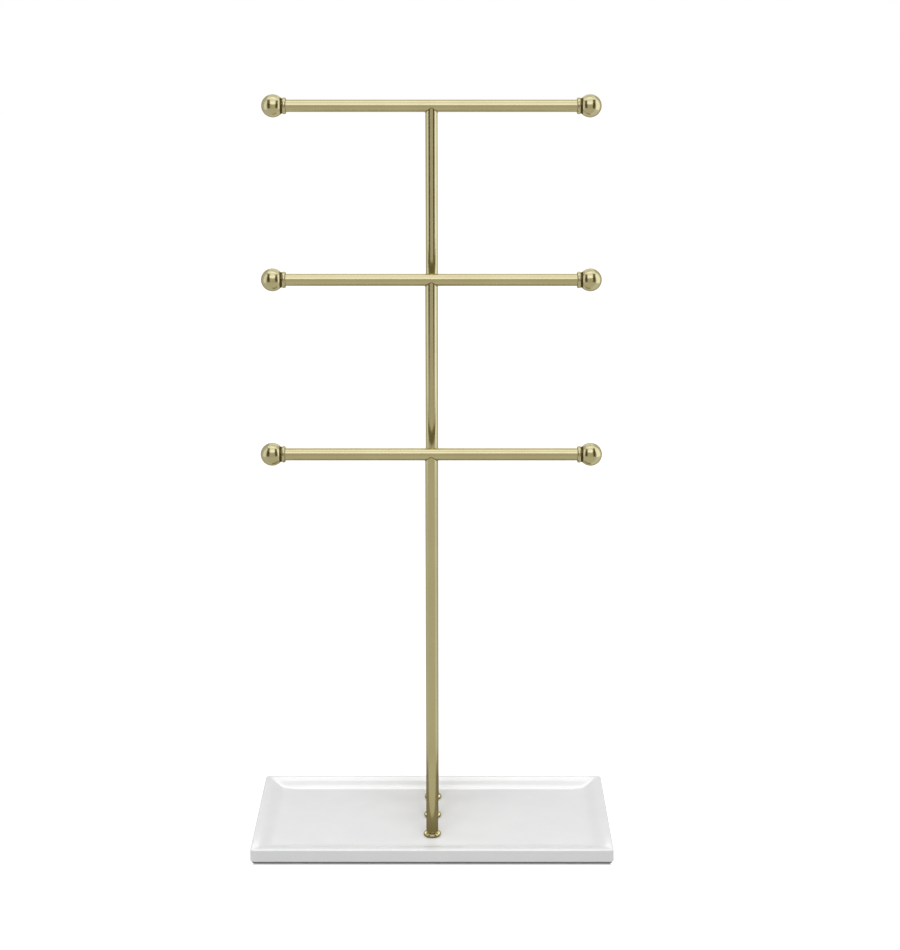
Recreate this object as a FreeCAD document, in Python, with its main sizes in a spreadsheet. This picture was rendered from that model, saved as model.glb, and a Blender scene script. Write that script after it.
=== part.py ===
import FreeCAD, Part

import math
import os
from types import SimpleNamespace

import Sketcher

# A free-standing, three-tier jewellery stand.  A shallow dished tray, hollow underneath, holds a steel
# ballast plate and sits on a thin non-slip pad.  Three T-shaped hangers stand on it in one row from front
# to back, each higher than the one before it.  A hanger is a post tube saddled to a crossbar tube, with a
# beaded collar plugged into each open tube end.  The collars of a bar take ball finials on studs, and the
# collar at the foot takes a screw that comes up through the tray.
#
# The origin is the middle of the pad's underside.  X runs along the bars, Y from front to back, Z up.
# Lengths are in millimetres and angles in degrees.

SIZES = {
    # Tray moulding
    "tray_length": 242.0,       # at the foot
    "tray_depth": 123.4,
    "tray_corner": 3.0,         # radius of the upright corners
    "wall_draft": 1.4,          # degrees that the outer walls lean in, to leave the mould
    "tray_edge_round": 0.8,     # round along the top outer edge
    "tray_foot_round": 0.5,     # round along the bottom outer edge
    "rim_width": 1.5,           # from the wall's top edge to where the border starts to fall
    "border_width": 15.5,       # the S-shaped fall from rim to floor, seen from above
    "dish_depth": 3.5,
    "floor_corner": 3.5,        # corner radius of the flat floor
    "floor_thickness": 2.6,
    "wall_thickness": 2.6,
    "border_core_width": 7.0,   # deeper coring of the underside along the wall
    "border_core_depth": 1.7,
    "rib_thickness": 1.6,
    "long_rib_spacing": 36.0,
    "short_rib_spacing": 32.0,
    # Pad and ballast
    "pad_thickness": 1.2,
    "pad_inset": 0.9,
    "pad_hole_play": 1.0,       # round the screw heads
    "plate_thickness": 2.0,
    "plate_gap": 0.4,           # between the plate and the pad
    "plate_play": 0.5,          # between the plate and the ribs round it
    "plate_corner": 4.0,
    "plate_hole_play": 1.5,     # round the washers
    # Hangers
    "post_inset": 13.9,         # from the outermost posts' axes to the edge of the tray's floor
    "low_bar_height": 273.2,    # from the table to the axis of the front bar
    "tier_rise": 108.3,
    "bar_length": 188.1,        # tube only, between the collars
    "tube_outer": 8.0,
    "tube_wall": 1.0,
    "saddle_gap": 0.05,         # brazing gap between post and bar
    # Collars
    "bead_step": 1.4,           # how far the bead stands out past the tube
    "bead_width": 2.2,
    "bead_crown": 0.45,         # how far the bead's face bulges past its edges
    "foot_bead_step": 1.8,      # the bead at a post's foot is bolder and rounder
    "foot_bead_width": 2.6,
    "foot_bead_crown": 0.9,
    "plug_length": 9.0,
    "plug_chamfer": 0.6,
    "plug_play": 0.05,
    # Finials
    "ball_outer": 14.8,
    "neck_length": 0.8,
    "stud_length": 7.5,
    # Screws and washers
    "thread": 4.0,
    "thread_play": 0.05,
    "screw_length": 12.0,
    "screw_head": 8.0,
    "screw_head_height": 1.8,
    "screw_head_side": 0.8,     # height of the upright side of the head
    "screw_tip_chamfer": 0.5,
    "socket_flats": 2.5,
    "socket_depth": 1.2,
    "screw_hole_play": 0.2,
    "washer_outer": 10.0,
    "washer_thickness": 0.8,
    "washer_play": 0.15,
}

TIERS = ("front", "middle", "back")
BORDER_STEPS = 6                # sections along the border's fall
LONG_RIBS = 5
SHORT_RIBS = 3
PLUG_CHAMFER_SHARE = 0.7        # most of a plug's wall that its chamfer may take
SHEET = "Sizes"


class Size:
    """A length that holds its present number and the sheet expression that gives it."""

    def __init__(self, number, text):
        self.number = number
        self.text = text

    def __add__(self, other):
        other = as_size(other)
        return Size(self.number + other.number, f"({self.text} + {other.text})")

    def __sub__(self, other):
        other = as_size(other)
        return Size(self.number - other.number, f"({self.text} - {other.text})")

    def __mul__(self, other):
        other = as_size(other)
        return Size(self.number * other.number, f"({self.text} * {other.text})")

    def __truediv__(self, other):
        other = as_size(other)
        return Size(self.number / other.number, f"({self.text} / {other.text})")

    def __neg__(self):
        return self * -1

    def root(self):
        return Size(math.sqrt(self.number), f"sqrt({self.text})")

    def tangent(self):
        """The tangent of an angle in degrees."""
        return Size(math.tan(math.radians(self.number)), f"tan({self.text})")


def smaller(first, second):
    """The smaller of two sizes."""
    return Size(min(first.number, second.number), f"min({first.text}; {second.text})")


def as_size(value):
    """A plain number as a Size; a Size is returned unchanged."""
    if isinstance(value, Size):
        return value
    return Size(float(value), repr(float(value)))


def make_sheet(doc):
    """Writes the driving dimensions into the spreadsheet and returns them by name."""
    sheet = doc.addObject("Spreadsheet::Sheet", SHEET)
    for row, (name, value) in enumerate(SIZES.items(), start=1):
        sheet.set(f"A{row}", name)
        sheet.set(f"B{row}", str(value))
        sheet.setAlias(f"B{row}", name)
    doc.recompute()
    return SimpleNamespace(**{name: Size(value, f"{SHEET}.{name}") for name, value in SIZES.items()})


def bind(thing, path, size):
    """Ties one property of an object to the sheet."""
    thing.setExpression(path, as_size(size).text)


# Bodies, sketches and features


def make_body(doc, label, at=(0, 0, 0), turn=None):
    """An empty body with its label and its place; turn is its rotation about Y in degrees."""
    body = doc.addObject("PartDesign::Body", label)
    body.Label = label
    if turn is not None:
        body.Placement.Rotation = FreeCAD.Rotation(FreeCAD.Vector(0, 1, 0), turn)
    for axis, size in zip("xyz", at):
        bind(body, f"Placement.Base.{axis}", size)
    return body


def origin_plane(body, role):
    """The body's own origin plane of that role."""
    return next(item for item in body.Origin.OriginFeatures if item.Role == role)


def make_sketch(body, name, role, lift=0):
    """An empty sketch on one of the body's origin planes, lifted along the plane's normal."""
    sketch = body.newObject("Sketcher::SketchObject", name)
    sketch.AttachmentSupport = [(origin_plane(body, role), "")]
    sketch.MapMode = "FlatFace"
    bind(sketch, "AttachmentOffset.Base.z", lift)
    return sketch


def pin_point(sketch, edge, end, x, y):
    """Holds one end of a sketch edge at x, y, measured from the sketch's origin."""
    for kind, size in (("DistanceX", as_size(x)), ("DistanceY", as_size(y))):
        index = sketch.addConstraint(Sketcher.Constraint(kind, -1, 1, edge, end, size.number))
        bind(sketch, f"Constraints[{index}]", size)


def arc_between(start, end, radius, turn):
    """The short arc from start to end; turn is 1 for anticlockwise and -1 for clockwise."""
    chord = end - start
    side = FreeCAD.Vector(-chord.y, chord.x, 0)
    side.normalize()
    reach = math.sqrt(max(radius ** 2 - (chord.Length / 2) ** 2, 0))
    centre = (start + end) / 2 + side * reach * turn
    first, last = (start, end) if turn > 0 else (end, start)
    angles = [math.atan2(point.y - centre.y, point.x - centre.x) for point in (first, last)]
    circle = Part.Circle(centre, FreeCAD.Vector(0, 0, 1), radius)
    return Part.ArcOfCircle(circle, angles[0], angles[1])


def draw_outline(sketch, corners):
    """A closed outline.  A corner is (x, y), or (x, y, radius, turn) where the edge after it is an arc."""
    count = len(corners)
    points = [FreeCAD.Vector(as_size(c[0]).number, as_size(c[1]).number, 0) for c in corners]
    ends = []
    for index, corner in enumerate(corners):
        start, end = points[index], points[(index + 1) % count]
        if len(corner) == 2:
            edge = sketch.addGeometry(Part.LineSegment(start, end))
            ends.append((edge, 1, 2))
            continue
        radius, turn = as_size(corner[2]), corner[3]
        edge = sketch.addGeometry(arc_between(start, end, radius.number, turn))
        ends.append((edge, 1, 2) if turn > 0 else (edge, 2, 1))
        held = sketch.addConstraint(Sketcher.Constraint("Radius", edge, radius.number))
        bind(sketch, f"Constraints[{held}]", radius)
    for index, corner in enumerate(corners):
        edge, start_end, _ = ends[index]
        before, _, before_end = ends[index - 1]
        sketch.addConstraint(Sketcher.Constraint("Coincident", before, before_end, edge, start_end))
        pin_point(sketch, edge, start_end, corner[0], corner[1])


def draw_rounded_rectangle(sketch, half_x, half_y, radius):
    """A rectangle about the origin with rounded corners, drawn anticlockwise."""
    flat_x, flat_y = half_x - radius, half_y - radius
    draw_outline(sketch, [
        (-flat_x, -half_y), (flat_x, -half_y, radius, 1),
        (half_x, -flat_y), (half_x, flat_y, radius, 1),
        (flat_x, half_y), (-flat_x, half_y, radius, 1),
        (-half_x, flat_y), (-half_x, -flat_y, radius, 1),
    ])


def draw_rectangle(sketch, left, right, low, high):
    """A sharp-cornered rectangle between two x values and two y values."""
    draw_outline(sketch, [(left, low), (right, low), (right, high), (left, high)])


def draw_circle(sketch, x, y, diameter):
    """A circle about x, y."""
    centre = FreeCAD.Vector(as_size(x).number, as_size(y).number, 0)
    circle = Part.Circle(centre, FreeCAD.Vector(0, 0, 1), diameter.number / 2)
    edge = sketch.addGeometry(circle)
    pin_point(sketch, edge, 3, x, y)
    index = sketch.addConstraint(Sketcher.Constraint("Diameter", edge, diameter.number))
    bind(sketch, f"Constraints[{index}]", diameter)


def extrude(body, kind, name, sketch, length, reverse=False, midplane=False):
    """A pad or a pocket of a sketch, to a length of its own."""
    feature = body.newObject(f"PartDesign::{kind}", name)
    feature.Profile = sketch
    feature.Type = "Length"
    feature.SideType = "Symmetric" if midplane else "One side"
    feature.Reversed = reverse
    bind(feature, "Length", length)
    body.Tip = feature
    return feature


def revolve(body, name, sketch):
    """A full turn of a sketch about its upright axis."""
    feature = body.newObject("PartDesign::Revolution", name)
    feature.Profile = sketch
    feature.ReferenceAxis = (sketch, ["V_Axis"])
    feature.Angle = 360
    body.Tip = feature
    return feature


def repeat_in_line(body, name, feature, axis, gap, count):
    """Repeats a feature along an axis of its own sketch, a gap apart."""
    pattern = body.newObject("PartDesign::LinearPattern", name)
    pattern.Originals = [feature]
    pattern.Direction = (feature.Profile[0], [axis])
    pattern.Mode = "Spacing"
    pattern.Occurrences = count
    bind(pattern, "Offset", gap)
    body.Tip = pattern
    return pattern


def round_edges(doc, body, name, base, height, radius):
    """Rounds every edge of the base feature that lies flat at a height."""
    doc.recompute()
    flat = [
        f"Edge{index}" for index, edge in enumerate(base.Shape.Edges, start=1)
        if abs(edge.BoundBox.ZMin - height.number) < 1e-6 and abs(edge.BoundBox.ZMax - height.number) < 1e-6
    ]
    fillet = body.newObject("PartDesign::Fillet", name)
    fillet.Base = (base, flat)
    bind(fillet, "Radius", radius)
    body.Tip = fillet
    return fillet


def plan_layout(size):
    """Heights above the table, and distances on the plan, that several pieces share."""
    underside = size.pad_thickness
    ceiling = underside + size.plate_gap + size.plate_thickness
    floor = ceiling + size.floor_thickness
    rim = floor + size.dish_depth
    wall_lean = (rim - underside) * size.wall_draft.tangent()
    rim_setback = wall_lean + size.rim_width
    floor_depth = size.tray_depth - (rim_setback + size.border_width) * 2
    post_spacing = (floor_depth - size.post_inset * 2) / (len(TIERS) - 1)
    return SimpleNamespace(
        underside=underside, ceiling=ceiling, floor=floor, rim=rim,
        rim_setback=rim_setback, post_spacing=post_spacing)


# Tray, ballast plate and pad


def border_height(size, layout, inward):
    """Height of the border's surface, inward from the rim: two equal arcs that meet at mid-fall."""
    half_width = size.border_width / 2
    half_drop = size.dish_depth / 2
    radius = (half_width * half_width + half_drop * half_drop) / size.dish_depth
    if inward.number <= half_width.number:
        return layout.rim - radius + (radius * radius - inward * inward).root()
    left = size.border_width - inward
    return layout.floor + radius - (radius * radius - left * left).root()


def add_dish(size, layout, body):
    """Sinks the dish: a loft through rounded rectangles that shrink as they go down the border."""
    rim_radius = size.tray_corner - layout.rim_setback
    sections = []
    for step in range(BORDER_STEPS + 1):
        share = step / BORDER_STEPS
        inward = size.border_width * share
        sketch = make_sketch(body, f"DishSection{step}", "XY_Plane", border_height(size, layout, inward))
        setback = layout.rim_setback + inward
        corner = rim_radius * (1 - share) + size.floor_corner * share
        draw_rounded_rectangle(sketch, size.tray_length / 2 - setback, size.tray_depth / 2 - setback, corner)
        sections.append(sketch)
    dish = body.newObject("PartDesign::SubtractiveLoft", "Dish")
    dish.Profile = sections[0]
    dish.Sections = sections[1:]
    body.Tip = dish


def add_hollow(size, layout, body):
    """Cores the underside: a shallow recess all over, and a deeper channel under the border."""
    half_x = size.tray_length / 2 - size.wall_thickness
    half_y = size.tray_depth / 2 - size.wall_thickness
    corner = size.tray_corner / 2
    recess = make_sketch(body, "RecessOutline", "XY_Plane", layout.underside)
    draw_rounded_rectangle(recess, half_x, half_y, corner)
    extrude(body, "Pocket", "Recess", recess, layout.ceiling - layout.underside, reverse=True)
    channel = make_sketch(body, "ChannelOutline", "XY_Plane", layout.underside)
    draw_rounded_rectangle(channel, half_x, half_y, corner)
    inner_x, inner_y = half_x - size.border_core_width, half_y - size.border_core_width
    draw_rounded_rectangle(channel, inner_x, inner_y, corner)
    depth = layout.ceiling - layout.underside + size.border_core_depth
    extrude(body, "Pocket", "Channel", channel, depth, reverse=True)


def add_ribs(size, layout, body):
    """Ribs across the channel, which stiffen the wall and hold the ballast plate in place."""
    wall_x = size.tray_length / 2 - size.wall_thickness
    wall_y = size.tray_depth / 2 - size.wall_thickness
    half_rib = size.rib_thickness / 2
    depth = layout.ceiling - layout.underside + size.border_core_depth

    first = -(size.long_rib_spacing * ((LONG_RIBS - 1) / 2))
    long_sides = make_sketch(body, "LongSideRibs", "XY_Plane", layout.underside)
    draw_rectangle(long_sides, first - half_rib, first + half_rib, -wall_y, size.border_core_width - wall_y)
    draw_rectangle(long_sides, first - half_rib, first + half_rib, wall_y - size.border_core_width, wall_y)
    rib = extrude(body, "Pad", "LongSideRib", long_sides, depth)
    repeat_in_line(body, "LongSideRibRow", rib, "H_Axis", size.long_rib_spacing, LONG_RIBS)

    first = -(size.short_rib_spacing * ((SHORT_RIBS - 1) / 2))
    short_sides = make_sketch(body, "ShortSideRibs", "XY_Plane", layout.underside)
    draw_rectangle(short_sides, -wall_x, size.border_core_width - wall_x, first - half_rib, first + half_rib)
    draw_rectangle(short_sides, wall_x - size.border_core_width, wall_x, first - half_rib, first + half_rib)
    rib = extrude(body, "Pad", "ShortSideRib", short_sides, depth)
    repeat_in_line(body, "ShortSideRibRow", rib, "V_Axis", size.short_rib_spacing, SHORT_RIBS)


def add_post_holes(layout, body, height, diameter, length):
    """A row of three upright holes, one under each post, cut upwards from a height."""
    sketch = make_sketch(body, "PostHoleCircle", "XY_Plane", height)
    draw_circle(sketch, 0, layout.post_spacing * (1 - len(TIERS)) / 2, diameter)
    hole = extrude(body, "Pocket", "PostHole", sketch, length, reverse=True)
    repeat_in_line(body, "PostHoleRow", hole, "V_Axis", layout.post_spacing, len(TIERS))


def make_tray(doc, size, layout):
    body = make_body(doc, "tray")
    outline = make_sketch(body, "TrayOutline", "XY_Plane", layout.underside)
    draw_rounded_rectangle(outline, size.tray_length / 2, size.tray_depth / 2, size.tray_corner)
    tray_height = layout.rim - layout.underside
    block = extrude(body, "Pad", "TrayBlock", outline, tray_height)
    bind(block, "TaperAngle", -size.wall_draft)
    top = round_edges(doc, body, "TopEdgeRound", block, layout.rim, size.tray_edge_round)
    round_edges(doc, body, "FootEdgeRound", top, layout.underside, size.tray_foot_round)
    add_dish(size, layout, body)
    add_hollow(size, layout, body)
    add_ribs(size, layout, body)
    add_post_holes(layout, body, layout.underside, size.thread + size.screw_hole_play * 2, tray_height)
    return body


def make_ballast_plate(doc, size, layout):
    body = make_body(doc, "ballast_plate")
    setback = size.wall_thickness + size.border_core_width + size.plate_play
    outline = make_sketch(body, "PlateOutline", "XY_Plane", layout.ceiling - size.plate_thickness)
    draw_rounded_rectangle(
        outline, size.tray_length / 2 - setback, size.tray_depth / 2 - setback, size.plate_corner)
    extrude(body, "Pad", "Plate", outline, size.plate_thickness)
    plate_hole = size.washer_outer + size.plate_hole_play * 2
    add_post_holes(layout, body, layout.ceiling - size.plate_thickness, plate_hole, size.plate_thickness)
    return body


def make_base_pad(doc, size, layout):
    body = make_body(doc, "base_pad")
    outline = make_sketch(body, "PadOutline", "XY_Plane")
    draw_rounded_rectangle(
        outline, size.tray_length / 2 - size.pad_inset, size.tray_depth / 2 - size.pad_inset,
        size.tray_corner)
    extrude(body, "Pad", "Sheet", outline, size.pad_thickness)
    add_post_holes(layout, body, as_size(0), size.screw_head + size.pad_hole_play * 2, size.pad_thickness)
    return body


# Hangers.  Collars, finials and screws are drawn with their axis upright and the end that goes into the
# next piece pointing up; their body then turns them.


def make_post(doc, size, tier, y, tube_foot, bar_height):
    body = make_body(doc, f"{tier}_post", (0, y, tube_foot))
    section = make_sketch(body, "TubeSection", "XY_Plane")
    draw_circle(section, 0, 0, size.tube_outer)
    draw_circle(section, 0, 0, size.tube_outer - size.tube_wall * 2)
    to_bar = bar_height - tube_foot
    extrude(body, "Pad", "Tube", section, to_bar)
    saddle = make_sketch(body, "SaddleCircle", "YZ_Plane")
    draw_circle(saddle, 0, to_bar, size.tube_outer + size.saddle_gap * 2)
    extrude(body, "Pocket", "Saddle", saddle, size.tube_outer * 2, midplane=True)
    return body


def make_crossbar(doc, size, tier, y, bar_height):
    body = make_body(doc, f"{tier}_crossbar", (0, y, bar_height))
    section = make_sketch(body, "TubeSection", "YZ_Plane")
    draw_circle(section, 0, 0, size.tube_outer)
    draw_circle(section, 0, 0, size.tube_outer - size.tube_wall * 2)
    extrude(body, "Pad", "Tube", section, size.bar_length, midplane=True)
    return body


def make_bead(size, step, width, crown):
    """Sizes of a bead: its width, the radius of its two edges, and the radius of the arc between them."""
    half = width / 2
    edge = size.tube_outer / 2 + step - crown
    return SimpleNamespace(width=width, edge=edge, bulge=(half * half + crown * crown) / (crown * 2))


def end_bead(size):
    return make_bead(size, size.bead_step, size.bead_width, size.bead_crown)


def foot_bead(size):
    return make_bead(size, size.foot_bead_step, size.foot_bead_width, size.foot_bead_crown)


def make_collar(doc, size, bead, label, at, turn=None):
    """A tapped plug with a beaded flange.  Its origin is where the flange meets the tube's end."""
    body = make_body(doc, label, at, turn)
    bore = size.thread / 2 + size.thread_play
    plug = size.tube_outer / 2 - size.tube_wall - size.plug_play
    chamfer = smaller(size.plug_chamfer, (plug - bore) * PLUG_CHAMFER_SHARE)
    profile = make_sketch(body, "CollarProfile", "XZ_Plane")
    draw_outline(profile, [
        (bore, -bead.width),
        (bead.edge, -bead.width, bead.bulge, 1),
        (bead.edge, 0),
        (plug, 0),
        (plug, size.plug_length - chamfer),
        (plug - chamfer, size.plug_length),
        (bore, size.plug_length),
    ])
    revolve(body, "Collar", profile)
    return body


def make_finial(doc, size, label, at, turn):
    """A ball on a short neck with a stud.  Its origin is where the neck meets the collar."""
    body = make_body(doc, label, at, turn)
    ball, neck, stud = size.ball_outer / 2, end_bead(size).edge, size.thread / 2
    centre = -size.neck_length - (ball * ball - neck * neck).root()
    profile = make_sketch(body, "FinialProfile", "XZ_Plane")
    draw_outline(profile, [
        (0, centre - ball, ball, 1),
        (neck, -size.neck_length),
        (neck, 0),
        (stud, 0),
        (stud, size.stud_length - size.screw_tip_chamfer),
        (stud - size.screw_tip_chamfer, size.stud_length),
        (0, size.stud_length),
    ])
    revolve(body, "Finial", profile)
    return body


def make_foot_screw(doc, size, label, at):
    """A domed screw with a hexagon socket.  Its origin is under the head's bearing face."""
    body = make_body(doc, label, at)
    head, shank = size.screw_head / 2, size.thread / 2
    rise = size.screw_head_height - size.screw_head_side
    dome = (head * head + rise * rise) / (rise * 2)
    profile = make_sketch(body, "ScrewProfile", "XZ_Plane")
    draw_outline(profile, [
        (0, -size.screw_head_height, dome, 1),
        (head, -size.screw_head_side),
        (head, 0),
        (shank, 0),
        (shank, size.screw_length - size.screw_tip_chamfer),
        (shank - size.screw_tip_chamfer, size.screw_length),
        (0, size.screw_length),
    ])
    revolve(body, "Screw", profile)
    socket = make_sketch(body, "SocketOutline", "XY_Plane", -size.screw_head_height)
    reach = size.socket_flats / math.sqrt(3)
    flat = size.socket_flats / 2
    draw_outline(socket, [
        (reach, 0), (reach / 2, flat), (-reach / 2, flat),
        (-reach, 0), (-reach / 2, -flat), (reach / 2, -flat),
    ])
    extrude(body, "Pocket", "Socket", socket, size.socket_depth, reverse=True)
    return body


def make_foot_washer(doc, size, layout, label, y):
    body = make_body(doc, label, (0, y, layout.ceiling - size.washer_thickness))
    section = make_sketch(body, "WasherSection", "XY_Plane")
    draw_circle(section, 0, 0, size.washer_outer)
    draw_circle(section, 0, 0, size.thread + size.washer_play * 2)
    extrude(body, "Pad", "Washer", section, size.washer_thickness)
    return body


def make_hanger(doc, size, layout, place, tier):
    """One T: its post, crossbar, collars, finials, foot screw and washer."""
    y = layout.post_spacing * (place - (len(TIERS) - 1) / 2)
    bar_height = size.low_bar_height + size.tier_rise * place
    tube_foot = layout.floor + size.foot_bead_width
    parts = [
        make_post(doc, size, tier, y, tube_foot, bar_height),
        make_crossbar(doc, size, tier, y, bar_height),
        make_collar(doc, size, foot_bead(size), f"{tier}_foot_collar", (0, y, tube_foot)),
    ]
    for side, sign, turn in (("left", -1, 90), ("right", 1, -90)):
        tube_end = size.bar_length / 2
        bead_face = tube_end + size.bead_width
        parts.append(make_collar(
            doc, size, end_bead(size), f"{tier}_{side}_collar", (tube_end * sign, y, bar_height), turn))
        parts.append(make_finial(doc, size, f"{tier}_{side}_finial", (bead_face * sign, y, bar_height), turn))
    under_head = layout.ceiling - size.washer_thickness
    parts.append(make_foot_screw(doc, size, f"{tier}_foot_screw", (0, y, under_head)))
    parts.append(make_foot_washer(doc, size, layout, f"{tier}_foot_washer", y))
    return parts


def build(doc):
    """Builds every piece and returns the bodies."""
    size = make_sheet(doc)
    layout = plan_layout(size)
    bodies = [
        make_tray(doc, size, layout),
        make_ballast_plate(doc, size, layout),
        make_base_pad(doc, size, layout),
    ]
    for place, tier in enumerate(TIERS):
        bodies += make_hanger(doc, size, layout, place, tier)
    doc.recompute()
    return bodies


def check(doc, bodies):
    """Stops if any object failed to build or any piece is not one valid solid."""
    for item in doc.Objects:
        if "Invalid" in item.State or "Error" in item.State:
            raise RuntimeError(f"{item.Name} did not build: {item.State}")
    for body in bodies:
        shape = body.Shape
        if shape.isNull() or not shape.isValid() or len(shape.Solids) != 1:
            raise RuntimeError(f"{body.Label} is not one valid solid")


def export(bodies):
    """Writes each piece to its own file."""
    os.makedirs("parts", exist_ok=True)
    for body in bodies:
        body.Shape.exportStep(f"parts/{body.Label}.step")


document = FreeCAD.newDocument("JewelleryStand")
pieces = build(document)
check(document, pieces)
export(pieces)
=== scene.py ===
import math

import bpy
import numpy as np
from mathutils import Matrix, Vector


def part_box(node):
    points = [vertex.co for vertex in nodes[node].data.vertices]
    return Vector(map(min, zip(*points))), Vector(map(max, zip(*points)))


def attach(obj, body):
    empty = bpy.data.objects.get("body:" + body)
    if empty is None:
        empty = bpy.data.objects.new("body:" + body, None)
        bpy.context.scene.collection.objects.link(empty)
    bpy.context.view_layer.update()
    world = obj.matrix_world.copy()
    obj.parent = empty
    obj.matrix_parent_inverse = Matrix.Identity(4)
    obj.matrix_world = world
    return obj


# The looks of a three-tier jewellery stand: satin brass tubes and turned ends on a glossy white tray.
# Everything is in metres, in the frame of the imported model: X along the bars, Y to the back, Z up.

MM = 0.001

# Braze seams
SEAM_RADIUS = 0.24 * MM
SEAM_DROP = 1.2 * MM            # how much the peaks of the joint are rounded off
SEAM_STEPS = (96, 14)           # round the post, and round the seam's own section

# Satin brass
HAIR_LINE = (9000.0, 220.0)     # scale of the grain across and along its lines
FINIAL_GROOVE = (96.3 * MM, 97.6 * MM)      # from the middle of a bar, the finial's groove, darkened there as painted shade
# where a tube ends against its bead, darkened less as painted shade
TUBE_END = (93.9 * MM, 94.3 * MM)
GROOVE_EDGE = 0.1 * MM
PAINTED_FOOT_SHADE = (22 * MM, 8 * MM)   # heights on a post between which painted shade darkens it towards its foot
# the colour towards which painted shade in the grooves and at the foot darkens the brass
PAINTED_SHADE_TONE = (0.12, 0.09, 0.03)

# Camera
EYE = (0.01237, -1.275, 0.59375)
LOOK_DOWN = 15.04               # degrees below the horizon
LOOK_LEFT = 0.016               # degrees
LENS = 75.56                    # on a sensor SENSOR wide, both in millimetres
SENSOR = 36.0

# Studio
FLOOR_RADIUS = 6.0
FLOOR_HEIGHT = -0.2 * MM        # clear of the pad that rests on it
FLOOR_BOUNCE = 0.52             # strength of the light that it gives back to the stand
FLOOR_TONE = 0.52               # the part of its white that is lit, and shows the stand's shadow
OWN_WHITE = (0.72, 0.92)        # the part that isn't, near the stand and far from it
NEAR, FAR = 0.4, 2.5
CONTACT = (0.9 * MM, 2.9 * MM)  # past the pad's long sides, where its painted contact shadow fades out
CONTACT_REACH = 2.0 * MM        # in from the pad's ends, where it fades in
SURROUND_CENTRE = 0.40          # height of the middle of the surround
SURROUND_RADIUS = 1.15
ROOM_LIGHT = 0.30               # strength of the even light from all round
LIGHT_AIM = (0.0, 0.0, 0.0)

# Studio cards, which are seen in reflections only
WARM_GREY = (0.44, 0.41, 0.345)
GROUND_GREY = (0.49, 0.47, 0.39)
DARK = (0.06, 0.045, 0.012)
HALF_DARK = (0.16, 0.13, 0.06)
# what the posts mirror in place of the white tray, a painted reflection
TRAY_BROWN = (0.25, 0.225, 0.155)
BAR_BROWN = (0.14, 0.12, 0.06)
FRONT_SIDES = (-45, 45)         # azimuths of the front window, in degrees
BACK_SIDES = (150, 210)         # azimuths of the back wall
CARD_FOOT = -20.4               # elevation at which a wall card meets the floor, in degrees
CARD_REACH = 1.077              # radius at which it does
SIDE_WALL = (CARD_FOOT, 49)     # elevations of a side wall
FLAG_FOOT = -15                 # elevation under which the low flags end
FLAG_RADIUS = 0.97 * SURROUND_RADIUS
FLAG_TILT = 9                   # degrees that the camera stands above the balls
FLAG_ASIDE = (0.235, 0.45)      # how far a ball's normal turns sideways to mirror its two edges
FLAG_UP = (-0.065, 0.26, 0.51)  # and upwards, to mirror its foot, the end of its dark part and its top
ROOF = 1.49                     # height of the overhead panels
ROOF_SIDES = (-0.6, 0.6)
GROUND_LIFT = 0.2 * MM          # height of the cards that lie on the floor
BAR_CARD_GAP = 0.3 * MM
BAR_CARD_DROP = 2.5 * MM
WALL_STEPS = 25                 # grid lines of a wall card, each way
FLAG_STEPS = (9, 25)            # across a leaning flag and up it
FLAT_STEPS = 5                  # of a flat card, each way
ROUND_STEPS = 33                # round a card that lies on the floor
RING_STEPS = 9                  # outwards on it, and on the floor itself
FLOOR_STEPS = 65                # round the floor

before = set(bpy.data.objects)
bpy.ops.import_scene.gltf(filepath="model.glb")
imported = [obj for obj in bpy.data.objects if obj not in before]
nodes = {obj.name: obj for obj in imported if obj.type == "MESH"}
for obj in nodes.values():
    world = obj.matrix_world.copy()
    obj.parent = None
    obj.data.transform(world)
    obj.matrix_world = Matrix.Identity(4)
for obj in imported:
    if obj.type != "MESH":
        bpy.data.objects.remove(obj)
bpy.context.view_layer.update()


# Shader graphs


def colour(values):
    """Three values as an opaque colour."""
    return (*values, 1.0)


WHITE = colour((1, 1, 1))
MIX_FIRST, MIX_SECOND, MIX_COLOUR = 6, 7, 2     # the colour sockets of a Mix node, two in and one out


class Signal:
    """A value carried by a shader socket.  Arithmetic on it adds Math nodes to its graph."""

    def __init__(self, graph, socket):
        self.graph = graph
        self.socket = socket

    def __add__(self, other):
        return self.graph.math("ADD", self, other)

    def __radd__(self, other):
        return self.graph.math("ADD", other, self)

    def __sub__(self, other):
        return self.graph.math("SUBTRACT", self, other)

    def __rsub__(self, other):
        return self.graph.math("SUBTRACT", other, self)

    def __mul__(self, other):
        return self.graph.math("MULTIPLY", self, other)

    def __rmul__(self, other):
        return self.graph.math("MULTIPLY", other, self)


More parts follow.
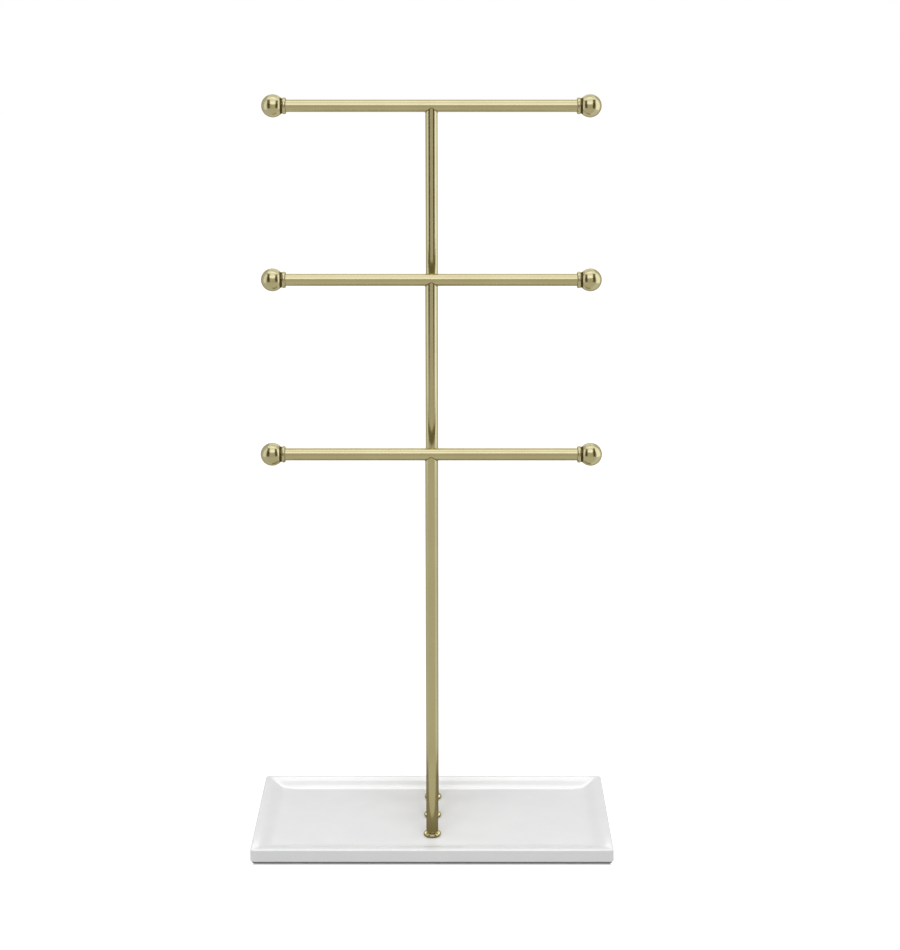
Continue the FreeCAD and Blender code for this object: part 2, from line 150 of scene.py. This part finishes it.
class Graph:
    """The nodes of one material or of the world."""

    def __init__(self, tree):
        self.tree = tree
        tree.nodes.clear()

    def node(self, kind, settings=None, inputs=None, output=0):
        """Adds a node, its settings first and then the values or links of its sockets.

        Returns one of its outputs as a signal, or the node where it has none.
        """
        made = self.tree.nodes.new(kind)
        for name, value in (settings or {}).items():
            setattr(made, name, value)
        for name, value in (inputs or {}).items():
            if isinstance(value, Signal):
                self.tree.links.new(value.socket, made.inputs[name])
            else:
                made.inputs[name].default_value = value
        return Signal(self, made.outputs[output]) if made.outputs else made

    def math(self, operation, *values):
        """A Math node on values or signals."""
        return self.node("ShaderNodeMath", {"operation": operation}, dict(enumerate(values)))

    def highest(self, first, second):
        """The higher of two values."""
        return self.math("MAXIMUM", first, second)

    def between(self, value, low, high, to_low=0.0, to_high=1.0):
        """The value carried smoothly from low..high to to_low..to_high, and held past the ends."""
        inputs = {
            "Value": value, "From Min": low, "From Max": high, "To Min": to_low, "To Max": to_high}
        return self.node("ShaderNodeMapRange", {"interpolation_type": "SMOOTHSTEP"}, inputs)

    def place(self):
        """Where a point of the piece is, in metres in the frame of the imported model."""
        return self.node("ShaderNodeTexCoord", output="Object")

    def coordinate(self, letter):
        """One coordinate of that place."""
        return self.node("ShaderNodeSeparateXYZ", None, {"Vector": self.place()}, output=letter)

    def within(self, value, low, high, edge):
        """1 where the value is from low to high, carried smoothly to 0 over an edge at each end."""
        return self.between(value, low - edge, low) * (1.0 - self.between(value, high, high + edge))

    def stretched(self, scale):
        """The same place with each axis scaled on its own, which draws a pattern out into a grain."""
        inputs = {0: self.place(), 1: scale}
        return self.node("ShaderNodeVectorMath", {"operation": "MULTIPLY"}, inputs, output="Vector")

    def distance(self):
        """How far a point of the piece is from the origin."""
        inputs = {0: self.place()}
        return self.node("ShaderNodeVectorMath", {"operation": "LENGTH"}, inputs, output="Value")

    def noise(self, vector, scale, detail=3.0, roughness=0.5):
        """Soft noise between 0 and 1."""
        inputs = {"Vector": vector, "Scale": scale, "Detail": detail, "Roughness": roughness}
        return self.node("ShaderNodeTexNoise", {"noise_dimensions": "3D"}, inputs, output="Fac")

    def blend(self, share, first, second):
        """A colour between two colours, each a signal or three values."""
        inputs = {"Factor": share}
        for socket, value in ((MIX_FIRST, first), (MIX_SECOND, second)):
            inputs[socket] = value if isinstance(value, Signal) else colour(value)
        return self.node("ShaderNodeMix", {"data_type": "RGBA"}, inputs, output=MIX_COLOUR)

    def glow(self, tone):
        """A plain glow that shows a tone as it is, whatever falls on it."""
        return self.node("ShaderNodeEmission", None, {"Color": tone, "Strength": 1.0})

    def face_only(self, shader):
        """A shader on the face of a surface, with nothing to be seen from its back."""
        behind = self.node("ShaderNodeNewGeometry", output="Backfacing")
        clear = self.node("ShaderNodeBsdfTransparent")
        return self.node("ShaderNodeMixShader", None, {0: behind, 1: shader, 2: clear})

    def bump(self, height, distance, strength=1.0):
        """A normal that follows a height between 0 and 1, as deep as distance in metres."""
        inputs = {"Height": height, "Distance": distance, "Strength": strength}
        return self.node("ShaderNodeBump", None, inputs)


def new_material(name):
    """An empty material and its graph."""
    material = bpy.data.materials.new(name)
    material.use_nodes = True
    return material, Graph(material.node_tree)


def finish_material(graph, shader_inputs):
    """Joins a Principled shader with these inputs to the material's output."""
    shader = graph.node("ShaderNodeBsdfPrincipled", None, shader_inputs)
    graph.node("ShaderNodeOutputMaterial", None, {"Surface": shader})


# Finishes of the stand


def satin_brass(axis):
    """Brass polished in a lathe, with hair lines round the axis; painted shade darkens its grooves, the
    ends of the tubes and the foot of the posts.
    """
    material, graph = new_material(f"satin_brass_{axis}")
    fine, slow = HAIR_LINE
    scale = (fine, slow, slow) if axis == "x" else (slow, slow, fine)
    grain = graph.noise(graph.stretched(scale), 1.0, 4.0, 0.6)
    cloud = graph.noise(graph.place(), 38.0, 3.0)
    tone = graph.blend(graph.between(cloud, 0.3, 0.7), (0.763, 0.697, 0.425), (0.798, 0.735, 0.455))
    if axis == "x":
        # Painted shade: dark in the finial grooves and, less, where the tubes meet their beads
        reach = graph.math("ABSOLUTE", graph.coordinate("X"))
        painted_shade = graph.highest(
            graph.within(reach, *FINIAL_GROOVE, 2 * GROOVE_EDGE),
            graph.within(reach, *TUBE_END, GROOVE_EDGE) * 0.4)
    else:
        # Painted shade, darker towards the foot of a post
        painted_shade = graph.between(graph.coordinate("Z"), *PAINTED_FOOT_SHADE) * 0.25
    finish_material(graph, {
        "Base Color": graph.blend(painted_shade, tone, PAINTED_SHADE_TONE),
        "Metallic": 1.0,
        "Specular Tint": colour((0.66, 0.60, 0.42)),
        "Roughness": 0.15 + grain * 0.03 + cloud * 0.02,
        "Normal": graph.bump(grain, 0.001 * MM, 0.2),
    })
    return material


def tray_gloss():
    """White moulding with a gloss coat, very slightly uneven as a moulded skin is."""
    material, graph = new_material("tray_gloss")
    swell = graph.noise(graph.place(), 60.0, 2.0)
    skin = graph.noise(graph.place(), 900.0, 2.0)
    shade = graph.between(swell, 0.3, 0.7)
    finish_material(graph, {
        "Base Color": graph.blend(shade, (0.845, 0.848, 0.856), (0.865, 0.866, 0.868)),
        "Roughness": 0.07 + skin * 0.03,
        "Normal": graph.bump(swell + skin * 0.05, 0.02 * MM, 0.4),
    })
    return material


def pad_foam():
    """Dark closed-cell foam."""
    material, graph = new_material("pad_foam")
    inputs = {"Vector": graph.place(), "Scale": 1800.0}
    cells = graph.node("ShaderNodeTexVoronoi", None, inputs, output="Distance")
    cloud = graph.noise(graph.place(), 120.0)
    shade = cells * 0.6 + cloud * 0.4
    finish_material(graph, {
        "Base Color": graph.blend(shade, (0.24, 0.24, 0.242), (0.32, 0.32, 0.322)),
        "Roughness": 0.82 + cells * 0.12,
        "Normal": graph.bump(cells, 0.12 * MM, 0.8),
    })
    return material


def plate_steel():
    """Zinc-plated sheet steel with the rolling direction along X."""
    material, graph = new_material("plate_steel")
    rolled = graph.noise(graph.stretched((60.0, 2400.0, 2400.0)), 1.0, 4.0)
    cloud = graph.noise(graph.place(), 90.0)
    finish_material(graph, {
        "Base Color": graph.blend(cloud, (0.46, 0.47, 0.48), (0.60, 0.61, 0.63)),
        "Metallic": 1.0,
        "Roughness": 0.34 + rolled * 0.16,
        "Normal": graph.bump(rolled, 0.004 * MM, 0.6),
    })
    return material


def screw_steel():
    """Nickel-plated screw steel."""
    material, graph = new_material("screw_steel")
    grain = graph.noise(graph.place(), 1400.0, 4.0)
    cloud = graph.noise(graph.place(), 300.0)
    finish_material(graph, {
        "Base Color": graph.blend(cloud, (0.52, 0.52, 0.53), (0.66, 0.66, 0.68)),
        "Metallic": 1.0,
        "Roughness": 0.26 + grain * 0.14,
        "Normal": graph.bump(grain, 0.006 * MM, 0.5),
    })
    return material


def dress_nodes():
    """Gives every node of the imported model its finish."""
    brass_x, brass_z = satin_brass("x"), satin_brass("z")
    steel = screw_steel()
    finishes = {"tray": tray_gloss(), "ballast_plate": plate_steel(), "base_pad": pad_foam()}
    for name, piece in nodes.items():
        if name in finishes:
            finish = finishes[name]
        elif name.endswith(("_screw", "_washer")):
            finish = steel
        elif name.endswith(("_post", "_foot_collar")):
            finish = brass_z
        else:
            finish = brass_x
        piece.data.materials.clear()
        piece.data.materials.append(finish)


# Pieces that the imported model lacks


def add_surface(name, points, closed=False):
    """A mesh on a grid of points, an array of rows by columns by three.

    Where it is closed, its last row and its last column are joined to its first ones.
    """
    rows, columns = points.shape[:2]
    index = np.arange(rows * columns).reshape(rows, columns)
    if closed:
        index = np.pad(index, ((0, 1), (0, 1)), mode="wrap")
    corners = [index[:-1, :-1], index[:-1, 1:], index[1:, 1:], index[1:, :-1]]
    faces = np.stack(corners, axis=-1).reshape(-1, 4)
    mesh = bpy.data.meshes.new(name)
    mesh.from_pydata(points.reshape(-1, 3).tolist(), [], faces.tolist())
    mesh.update()
    made = bpy.data.objects.new(name, mesh)
    bpy.context.scene.collection.objects.link(made)
    return made


def braze():
    """The braze metal, a little uneven: a real seam, but darker than the tubes as painted shade along the
    joint.
    """
    material, graph = new_material("braze")
    grain = graph.noise(graph.place(), 2600.0, 3.0)
    cloud = graph.noise(graph.place(), 500.0)
    finish_material(graph, {
        # Dark tone: painted shade where the post meets its bar
        "Base Color": graph.blend(cloud, (0.27, 0.22, 0.10), (0.40, 0.33, 0.16)),
        "Metallic": 1.0,
        "Roughness": 0.24 + grain * 0.12,
        "Normal": graph.bump(grain, 0.008 * MM, 0.5),
    })
    return material


def add_seam(tier, finish):
    """The braze round the head of a post, close under its bar.

    With r the radius of the tubes, a the angle round the post, s the radius of the seam's own section
    and b the angle round that:
    x = (r + s cos b) sin a, y = y0 - (r + s cos b) cos a, z = z0 - sqrt(r^2 sin^2 a + d^2) + s sin b.
    The tubes meet along z0 - r |sin a|; d rounds the peak that this has at the front and at the back.
    """
    low, high = (np.array(corner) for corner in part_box(f"{tier}_crossbar"))
    middle, radius = (low + high) / 2, (high[2] - low[2]) / 2
    around, section = np.meshgrid(
        *(np.linspace(0, 2 * math.pi, steps, endpoint=False) for steps in SEAM_STEPS))
    reach = radius + SEAM_RADIUS * np.cos(section)
    joint = middle[2] - np.sqrt((radius * np.sin(around)) ** 2 + SEAM_DROP ** 2)
    points = np.stack([
        reach * np.sin(around),
        middle[1] - reach * np.cos(around),
        joint + SEAM_RADIUS * np.sin(section),
    ], axis=-1)
    seam = add_surface(f"{tier}_braze_seam", points, closed=True)
    seam.data.shade_smooth()
    seam.data.materials.append(finish)
    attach(seam, f"{tier}_hanger")


def add_seams():
    """A seam for each of the three hangers, all of one metal."""
    finish = braze()
    for tier in ("front", "middle", "back"):
        add_seam(tier, finish)


# Studio


def grey(level):
    """Three equal values."""
    return (level, level, level)


def seen_directly(graph):
    """1 for a ray from the eye, or one that a metal or a glass has turned, and 0 for a lighting ray."""
    camera, glossy, through = (
        graph.node("ShaderNodeLightPath", output=f"Is {kind} Ray")
        for kind in ("Camera", "Glossy", "Transmission"))
    return graph.highest(graph.highest(camera, glossy), through)


def make_floor():
    """A round pale floor, seen from above only.  It is partly lit, so it keeps the stand's shadow.

    Near the stand less of its white is its own, which lets the shadow show there, and in a band beside
    the tray's foot it has none: a painted contact shadow, in which only the real shade of its lit part
    shows.
    """
    ring, turn = np.meshgrid(
        np.linspace(FLOOR_RADIUS, 0, RING_STEPS),
        np.linspace(0, 2 * math.pi, FLOOR_STEPS), indexing="ij")
    points = np.stack([ring * np.cos(turn), ring * np.sin(turn), FLOOR_HEIGHT + 0 * ring], axis=-1)
    floor = add_surface("floor", points)
    material, graph = new_material("floor_white")
    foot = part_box("base_pad")[1]
    # Painted contact shadow: the floor's own white is taken away in a band round the pad
    past_end = graph.math("ABSOLUTE", graph.coordinate("X")) - foot[0]
    past_side = graph.math("ABSOLUTE", graph.coordinate("Y")) - foot[1]
    clear = graph.highest(
        graph.between(past_end, -CONTACT_REACH, 0.0), graph.between(past_side, *CONTACT))
    own_white = graph.between(graph.distance(), NEAR, FAR, *OWN_WHITE) * clear
    own = graph.glow(graph.blend(own_white, (0, 0, 0), (1, 1, 1)))
    lit = graph.node("ShaderNodeBsdfDiffuse", None, {"Color": colour(grey(FLOOR_TONE))})
    seen = graph.node("ShaderNodeAddShader", None, {0: own, 1: lit})
    bounced = graph.node("ShaderNodeEmission", None, {"Color": WHITE, "Strength": FLOOR_BOUNCE})
    mixed = graph.node("ShaderNodeMixShader", None, {0: seen_directly(graph), 1: bounced, 2: seen})
    graph.node("ShaderNodeOutputMaterial", None, {"Surface": graph.face_only(mixed)})
    floor.data.materials.append(material)


def make_world():
    """White wherever it is seen, and an even light of ROOM_LIGHT for the rest."""
    world = bpy.data.worlds.new("studio")
    world.use_nodes = True
    bpy.context.scene.world = world
    graph = Graph(world.node_tree)
    strength = ROOM_LIGHT + seen_directly(graph) * (1.0 - ROOM_LIGHT)
    white = graph.node("ShaderNodeBackground", None, {"Color": WHITE, "Strength": strength})
    graph.node("ShaderNodeOutputWorld", None, {"Surface": white})


def make_wall_card(name, azimuths, elevations, glow):
    """A card on the sphere round the stand.

    From the sphere's centre, x, y, z = R (sin a cos e, -cos a cos e, sin e).  Azimuth a is 0
    towards the camera and 90 to its right; elevation e is above the sphere's centre.
    """
    turn, lift = np.meshgrid(
        *(np.radians(np.linspace(*span, WALL_STEPS)) for span in (azimuths, elevations)))
    points = SURROUND_RADIUS * np.stack([
        np.sin(turn) * np.cos(lift), -np.cos(turn) * np.cos(lift), np.sin(lift)], axis=-1)
    points[..., 2] += SURROUND_CENTRE
    make_reflected(add_surface(name, points), glow)


def make_leaning_flag(name, side, up_range, glow):
    """A panel that leans outwards as it rises, so that a ball mirrors it as an upright bar.

    Where a ball's normal has the parts s sideways and u upwards, as seen from the camera, it mirrors
    what lies towards 2c (s, 0, u) + (2cc - 1) (0, -1, 0), tilted up by FLAG_TILT, with
    c = sqrt(1 - ss - uu).
    """
    across, upwards = FLAG_STEPS
    aside, up = np.meshgrid(
        side * np.linspace(*FLAG_ASIDE, across), np.linspace(*up_range, upwards))
    facing = np.sqrt(1 - aside ** 2 - up ** 2)
    ahead, lift, tilt = 2 * facing ** 2 - 1, 2 * facing * up, math.radians(FLAG_TILT)
    points = FLAG_RADIUS * np.stack([
        2 * facing * aside,
        lift * math.sin(tilt) - ahead * math.cos(tilt),
        lift * math.cos(tilt) + ahead * math.sin(tilt)], axis=-1)
    points[..., 2] += SURROUND_CENTRE
    make_reflected(add_surface(name, points), glow)


def make_flat_card(name, x_range, y_range, height, glow, one_sided=False):
    """A level card between two x and two y values, that faces up, or down where y_range runs down."""
    x, y = np.meshgrid(np.linspace(*x_range, FLAT_STEPS), np.linspace(*y_range, FLAT_STEPS))
    make_reflected(add_surface(name, np.stack([x, y, height + 0 * x], axis=-1)), glow, one_sided)


def make_bar_card(tier):
    """A dark strip close behind a bar, that faces back: what the post behind it mirrors."""
    low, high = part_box(f"{tier}_crossbar")
    x, z = np.meshgrid(
        np.linspace(high[0], low[0], FLAT_STEPS),
        np.linspace(low[2] - BAR_CARD_DROP, high[2], FLAT_STEPS))
    points = np.stack([x, high[1] + BAR_CARD_GAP + 0 * x, z], axis=-1)
    make_reflected(add_surface(f"{tier}_bar_card", points), BAR_BROWN, one_sided=True)


def make_ground_card(name, azimuths, glow):
    """A card that lies on the floor: x, y = r (sin a, -cos a)."""
    turn, reach = np.meshgrid(
        np.radians(np.linspace(*azimuths, ROUND_STEPS)), np.linspace(0, CARD_REACH, RING_STEPS))
    points = np.stack([reach * np.sin(turn), -reach * np.cos(turn), GROUND_LIFT + 0 * turn], axis=-1)
    make_reflected(add_surface(name, points), glow)


def make_reflected(card, glow, one_sided=False):
    """Gives a card its plain tone, on its face or both sides, and hides it from all but reflections."""
    material, graph = new_material(card.name)
    plain = graph.glow(colour(glow))
    if one_sided:
        plain = graph.face_only(plain)
    graph.node("ShaderNodeOutputMaterial", None, {"Surface": plain})
    card.data.materials.append(material)
    card.visible_camera = False
    card.visible_diffuse = False
    card.visible_shadow = False
    card.visible_transmission = False


def make_surround():
    """Cards that shape what the metal reflects, as flags and soft boxes do in a studio."""
    # In front, from the floor up: a grey wall with a dark flag to each side, and a window above it.
    make_wall_card("front_card_low", (-28, 28.5), (CARD_FOOT, 0), WARM_GREY)
    make_wall_card("front_card", (-33, 33), (0, 25), WARM_GREY)
    make_wall_card("front_window", FRONT_SIDES, (25, 50), grey(1.14))
    make_wall_card("front_window_top", FRONT_SIDES, (50, 62), grey(0.96))
    for name, side in (("left_flag", -1), ("right_flag", 1)):
        make_leaning_flag(name, side, FLAG_UP[:2], DARK)
        make_leaning_flag(f"{name}_top", side, FLAG_UP[1:], HALF_DARK)
    make_wall_card("left_flag_low", (-53, -28), (FLAG_FOOT, 0), DARK)
    make_wall_card("right_flag_low", (28.5, 53.5), (FLAG_FOOT, 0), DARK)
    make_wall_card("left_flag_foot", (-53, -28), (CARD_FOOT, FLAG_FOOT), WARM_GREY)
    make_wall_card("right_flag_foot", (28.5, 53.5), (CARD_FOOT, FLAG_FOOT), WARM_GREY)
    # At the sides: a panel each, and a dimmer wall before and behind it.
    make_wall_card("left_front_wall", (-64, -53), SIDE_WALL, grey(0.42))
    make_wall_card("left_panel", (-95, -64), SIDE_WALL, grey(0.80))
    make_wall_card("left_back_wall", (-155, -95), SIDE_WALL, grey(0.50))
    make_wall_card("right_front_wall", (53.5, 63), SIDE_WALL, grey(0.50))
    make_wall_card("right_panel", (63, 110), SIDE_WALL, grey(1.05))
    make_wall_card("right_back_wall", (110, 155), SIDE_WALL, grey(0.54))
    # Behind, from the floor up: a dim wall in two tones, a window, and a dimmer panel over it.
    make_wall_card("back_foot", BACK_SIDES, (CARD_FOOT, 0), grey(0.62))
    make_wall_card("back_wall_foot", BACK_SIDES, (0, 11), grey(0.53))
    make_wall_card("back_wall", BACK_SIDES, (11, 44), grey(0.98))
    make_wall_card("back_wall_top", BACK_SIDES, (44, 62), grey(0.66))
    # Overhead: a row of panels from the back to the front.
    make_flat_card("roof_back", ROOF_SIDES, (0.21, 0.53), ROOF, grey(0.74))
    make_flat_card("roof_panel", (-0.32, 0.32), (-0.05, 0.21), ROOF, grey(1.27))
    make_flat_card("roof_middle", ROOF_SIDES, (-0.29, -0.05), ROOF, grey(0.96))
    make_flat_card("roof_front", ROOF_SIDES, (-0.53, -0.29), ROOF, grey(0.80))
    # Painted reflections for the posts: brown cards over the tray's floor and its rim, which the posts
    # mirror in place of the white tray, and dark strips behind the bars.
    make_flat_card(
        "tray_floor_card", (-0.020, 0.020), (-0.042, 0.046), 6.4 * MM, TRAY_BROWN, one_sided=True)
    make_flat_card(
        "tray_rim_card", (-0.119, 0.119), (-0.060, 0.060), 10 * MM, TRAY_BROWN, one_sided=True)
    make_bar_card("front")
    make_bar_card("middle")
    # For the tray, a bright panel behind it that faces down.
    make_flat_card("tray_window", (-0.35, 0.35), (0.34, 0.152), 0.20, grey(2.9), one_sided=True)
    # The ground, in four parts.
    make_ground_card("ground", (-62, 62), GROUND_GREY)
    make_ground_card("ground_right", (62, 118), grey(0.60))
    make_ground_card("ground_left", (-118, -62), grey(0.50))
    make_ground_card("ground_back", (118, 242), grey(0.55))


def make_light(name, place, size, radiance):
    """A soft box aimed at the stand, which lights it unseen.  Radiance 1 is that of the white world."""
    light = bpy.data.lights.new(name, "AREA")
    light.shape = "RECTANGLE"
    light.size, light.size_y = size
    light.energy = radiance * math.pi * size[0] * size[1]
    made = bpy.data.objects.new(name, light)
    bpy.context.scene.collection.objects.link(made)
    to_stand = np.array(LIGHT_AIM) - np.array(place)
    made.location = place
    made.rotation_euler = (
        math.atan2(math.hypot(to_stand[0], to_stand[1]), -to_stand[2]), 0,
        math.atan2(to_stand[1], to_stand[0]) - math.pi / 2)
    made.visible_camera = False
    made.visible_glossy = False


def make_lights():
    """A large box above the front, and a small one to each side."""
    make_light("front_light", (0.0, -1.52, 2.88), (3.00, 2.00), 4.0)
    make_light("left_light", (-1.4, 0.0, 0.8), (0.90, 0.90), 1.6)
    make_light("right_light", (1.4, 0.0, 0.8), (0.90, 0.90), 1.6)


def make_camera():
    """The camera, in front of the stand and a little above it."""
    camera = bpy.data.cameras.new("camera")
    camera.lens = LENS
    camera.sensor_width = SENSOR
    made = bpy.data.objects.new("camera", camera)
    made.location = EYE
    made.rotation_euler = (math.radians(90 - LOOK_DOWN), 0, math.radians(LOOK_LEFT))
    bpy.context.scene.collection.objects.link(made)
    bpy.context.scene.camera = made


bpy.context.scene.view_settings.view_transform = "Standard"
dress_nodes()
add_seams()
make_floor()
make_world()
make_surround()
make_lights()
make_camera()
